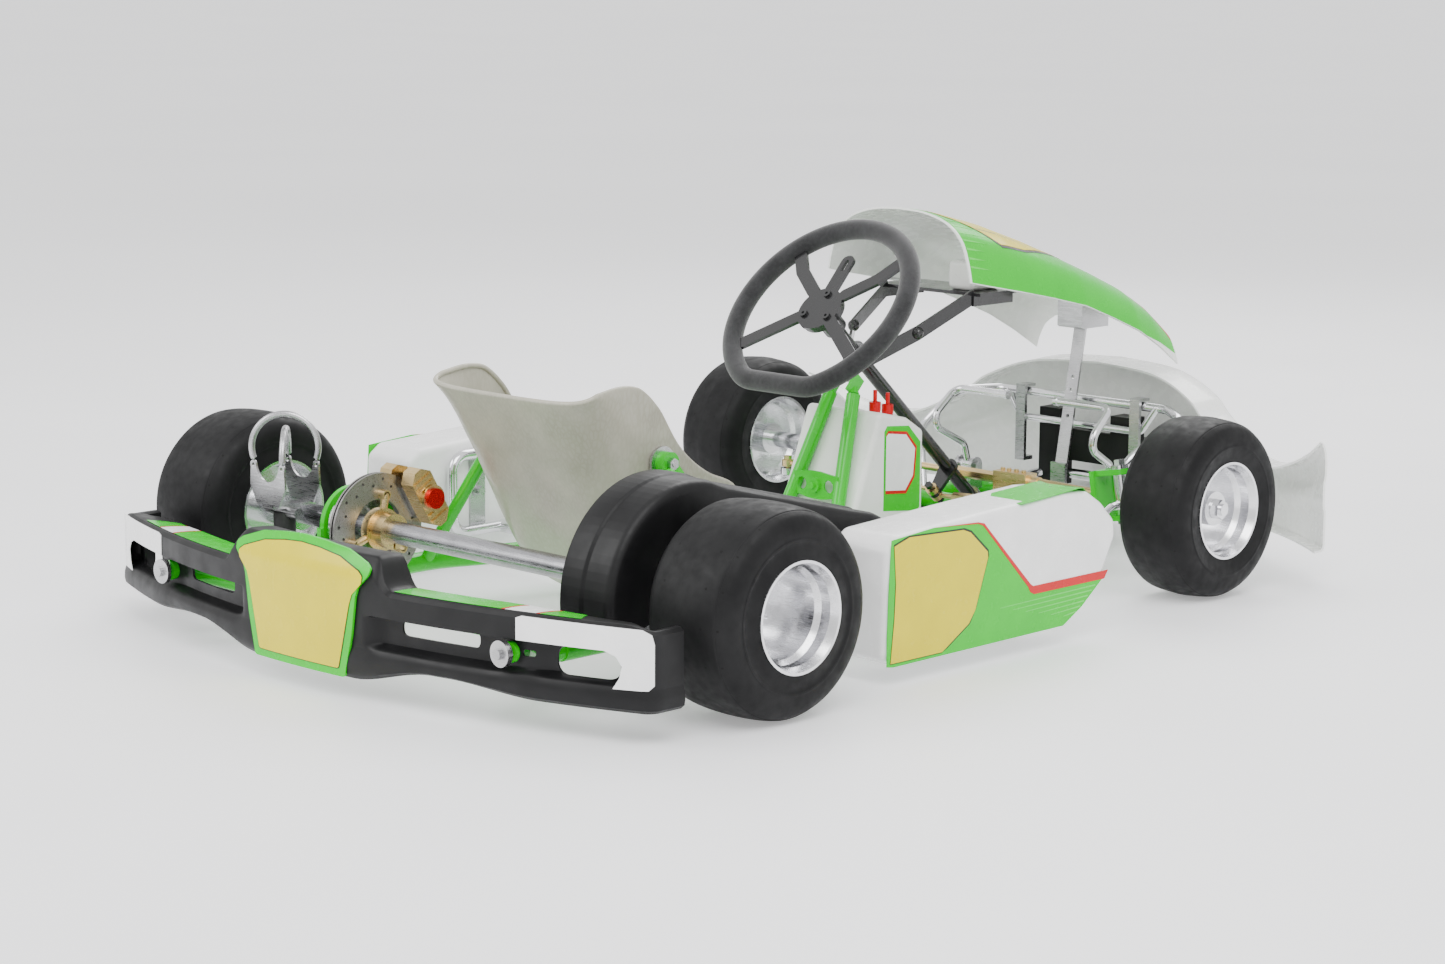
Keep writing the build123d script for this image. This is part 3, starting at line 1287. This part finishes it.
def overflow_bottle():
    """Catch bottle strapped to the bracket, with a black cap."""
    body = fillet(box(872, 938, -76, -28, 405, 448).edges(), 8)
    return body


def bottle_cap():
    return bar((905, -52, 448), (905, -52, 462), 10)


def front_brace():
    """Gold brace between the yokes: hexagon, clamp block, collar and tapered rod."""
    x, z = 965.0, 118.0
    end = 263.0
    bar_r = 7.5
    brace = bar((x, 28, z), (x, -56, z), bar_r, sides=6)
    brace += box(x - 13, x + 13, -118, -56, z - 17, z + 13)
    brace += bar((x, -134, z), (x, -118, z), 10)
    brace += bar((x, -134, z), (x, -end - 30, z), 8.5, 5.5)
    brace += bar((x, 28, z), (x, end + 30, z), 5.5)
    brace -= behind_yoke()
    brace -= mirror_y(behind_yoke())
    brace -= rod(rail_path, tube_d, rail_bends)
    brace -= mirror_y(rod(rail_path, tube_d, rail_bends))
    return max(brace.solids(), key=lambda s: s.volume)


def brace_screws():
    x, z = 965.0, 118.0
    screws = []
    for y in (-104, -90, -76, -64):
        screws.append(bar((x, y, z + 13), (x, y, z + 17), 3.5))
    return screws


# ---------------------------------------------------------------- write every node

def side_nodes(side, name):
    """The pieces that come once a side, written for the left (1) or the right (-1)."""
    def place(shape):
        return shape if side == 1 else mirror_y(shape)

    write([place(stub_axle()), place(wheel_nut())], f"{name}_stub_axle")
    write([place(front_rim())] + [place(ring) for ring in front_bearings()], f"{name}_front_rim")
    write(place(front_tyre()), f"{name}_front_tyre")
    write(tie_rod(side, side * -eye_offset), f"{name}_tie_rod")
    write(place(pod()), f"{name}_pod")


def main():
    os.makedirs("parts", exist_ok=True)
    # frame
    write(both(rail()), "main_rails")
    write(cross_tubes() + [foot_tube()], "cross_tubes")
    write(front_hoop(), "front_hoop")
    write(both(hanger()) + [caliper_bracket()], "axle_carriers")
    write(both(upright()) + [tank_plate()], "steering_uprights")
    write(both(yoke()), "front_yokes")
    write(both(kingpin()), "kingpins")
    write(floor_tray(), "floor_tray")
    write([front_brace()] + brace_screws(), "front_brace")
    write([column_bush(), column_foot()], "column_supports")
    write(both(cassette()), "bearing_cassettes")
    write(both(axle_bearing()), "axle_bearings")
    # seat, tank and pedal mounts
    write(both(seat_stay()) + both(seat_tab()), "seat_stays")
    write(seat(), "seat")
    write(both(seat_bolt()) + both(bumper_bolt()), "seat_and_bumper_bolts")
    write(fuel_tank(), "fuel_tank")
    write(tank_caps(), "tank_caps")
    write([tank_bolt()] + tank_cradle(), "tank_mounting")
    write(both(pedal_mount()), "pedal_mounts")
    # brake and exhaust
    write(caliper(), "brake_caliper")
    write(piston_cap(), "piston_cap")
    write(brake_pads(), "brake_pads")
    write([exhaust_cradle(), cradle_mount()], "exhaust_cradle")
    write(cradle_springs(), "cradle_springs")
    write(cradle_rubber(), "cradle_rubber")
    # bodywork and bumpers
    write(both(side_bar()), "side_bars")
    write(both(pod_bracket()) + guard_bracket(), "pod_and_guard_brackets")
    write(rear_bumper(), "rear_bumper")
    write(both(bumper_support()), "bumper_supports")
    write(chain_guard(), "chain_guard")
    write([bumper_upper(), bumper_lower()], "front_bumpers")
    write([fairing_mount()] + spoiler_pads(), "fairing_mount")
    write(hook_clamps(), "hook_clamps")
    write(front_spoiler(), "front_spoiler")
    write(nassau_panel(), "nassau_panel")
    write(nassau_arms() + [nassau_bracket()], "nassau_frame")
    write(nassau_strut() + [nassau_pad()], "nassau_strut")
    write([overflow_bottle(), bottle_cap()], "overflow_bottle")
    # rear axle
    write(rear_axle(), "rear_axle")
    write(rear_hub() + rear_wheel_nuts(), "rear_hubs")
    write(rear_rim(), "rear_rims")
    write(rear_tyre(), "rear_tyres")
    write(brake_disc(), "brake_disc")
    write([brake_hub()] + brake_hub_screws(), "brake_hub")
    write([sprocket(), sprocket_hub()], "sprocket")
    # steering and pedals
    write(grip(), "steering_wheel")
    write([wheel_plate()] + wheel_screws(), "wheel_plate")
    write([wheel_boss(), steering_column()], "steering_column")
    for side, name in ((1, "left"), (-1, "right")):
        side_nodes(side, name)
    write([pedal(), pedal_pad()], "brake_pedal")
    write([mirror_y(pedal()), mirror_y(pedal_pad())], "throttle_pedal")


if __name__ == "__main__":
    main()
